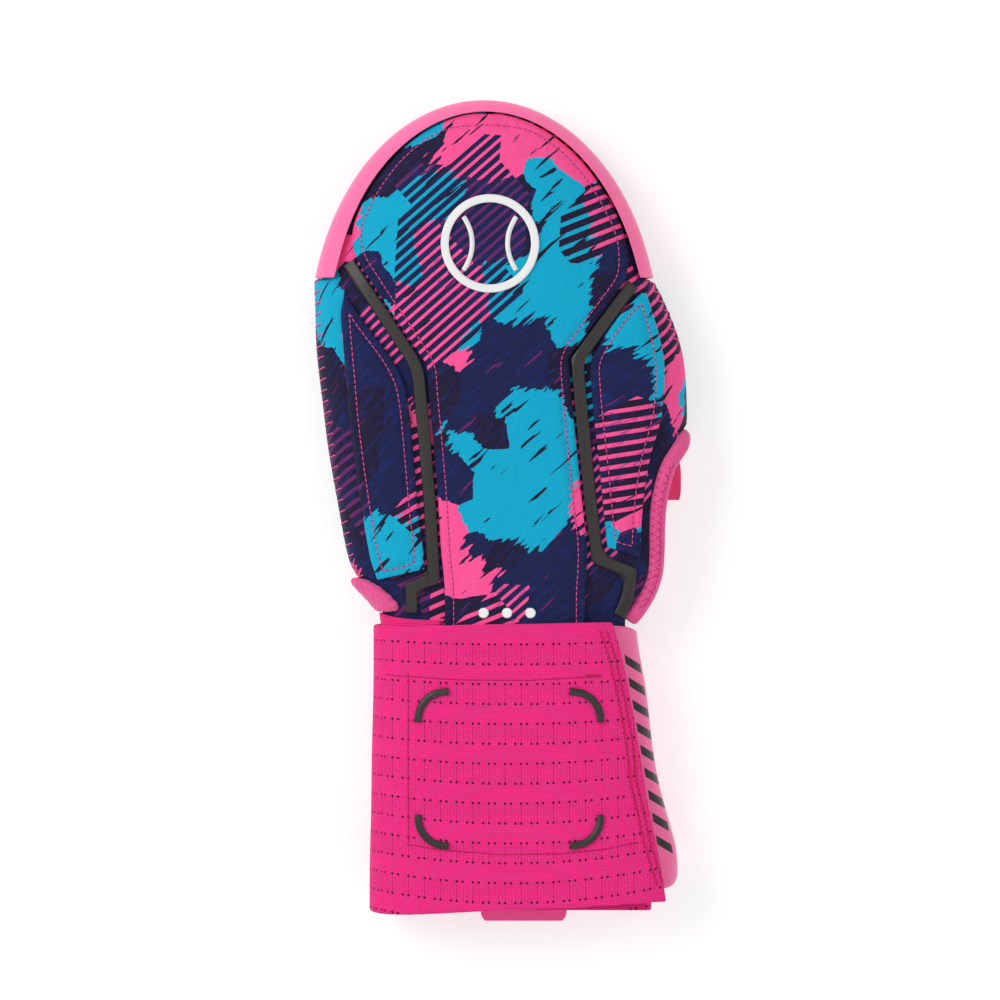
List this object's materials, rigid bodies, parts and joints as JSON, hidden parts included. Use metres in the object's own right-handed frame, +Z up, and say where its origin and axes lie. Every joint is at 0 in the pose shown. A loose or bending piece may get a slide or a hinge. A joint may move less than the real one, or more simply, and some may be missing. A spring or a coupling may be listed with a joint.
{
  "type": "sliding mitt",
  "caption": "Padded hand guard for base running, with a rubber fingertip rim, a thumb opening and a wide elastic wrist strap.",
  "frame": {"origin": "middle of the footprint on the surface that the mitt lies on, palm down", "axes": "+Y towards the fingertips, +X across the hand towards the thumb side, +Z up from the palm through the back of the hand"},
  "size_m": [0.1366, 0.3, 0.0392],
  "materials": {
    "back_shell": "printed stretch knit, navy ground with pink and cyan shapes",
    "centre_panel": "printed stretch knit over foam",
    "side_panel_left": "printed stretch knit over foam",
    "side_panel_right": "printed stretch knit over foam",
    "channel_strip_left": "satin black moulded rubber",
    "channel_strip_right": "satin black moulded rubber",
    "emblem_ring": "satin white moulded rubber",
    "emblem_seam_left": "satin white moulded rubber",
    "emblem_seam_right": "satin white moulded rubber",
    "neck_dot_left": "satin white moulded rubber",
    "neck_dot_middle": "satin white moulded rubber",
    "neck_dot_right": "satin white moulded rubber",
    "tip_bumper": "satin pink moulded rubber",
    "thumb_binding": "pink knitted binding with zigzag stitching",
    "cuff_binding": "pink knitted gusset",
    "palm_shell": "navy knit palm cover",
    "palm_pad": "navy padded palm panel",
    "thumb_tab": "glossy dark pink tab",
    "cuff_lining": "pink knit lining",
    "strap_anchor": "pink elastic webbing",
    "wrist_strap": "pink elastic webbing with ribbed bands and rows of small holes",
    "strap_end_tab": "satin pink moulded tab",
    "strap_arc_top_left": "satin black raised mark",
    "strap_arc_top_right": "satin black raised mark",
    "strap_arc_low_left": "satin black raised mark",
    "strap_arc_low_right": "satin black raised mark",
    "pull_tab": "satin pink moulded tab"
  },
  "bodies": {
    "root": {"back_shell": "back_shell", "centre_panel": "centre_panel", "side_panel_left": "side_panel_left", "side_panel_right": "side_panel_right", "channel_strip_left": "channel_strip_left", "channel_strip_right": "channel_strip_right", "emblem_ring": "emblem_ring", "emblem_seam_left": "emblem_seam_left", "emblem_seam_right": "emblem_seam_right", "neck_dot_left": "neck_dot_left", "neck_dot_middle": "neck_dot_middle", "neck_dot_right": "neck_dot_right", "tip_bumper": "tip_bumper", "thumb_binding": "thumb_binding", "cuff_binding": "cuff_binding", "palm_shell": "palm_shell", "palm_pad": "palm_pad", "thumb_tab": "thumb_tab", "cuff_lining": "cuff_lining", "strap_anchor": "strap_anchor", "wrist_strap": "wrist_strap", "strap_end_tab": "strap_end_tab", "strap_arc_top_left": "strap_arc_top_left", "strap_arc_top_right": "strap_arc_top_right", "strap_arc_low_left": "strap_arc_low_left", "strap_arc_low_right": "strap_arc_low_right", "pull_tab": "pull_tab"}
  },
  "joints": []
}
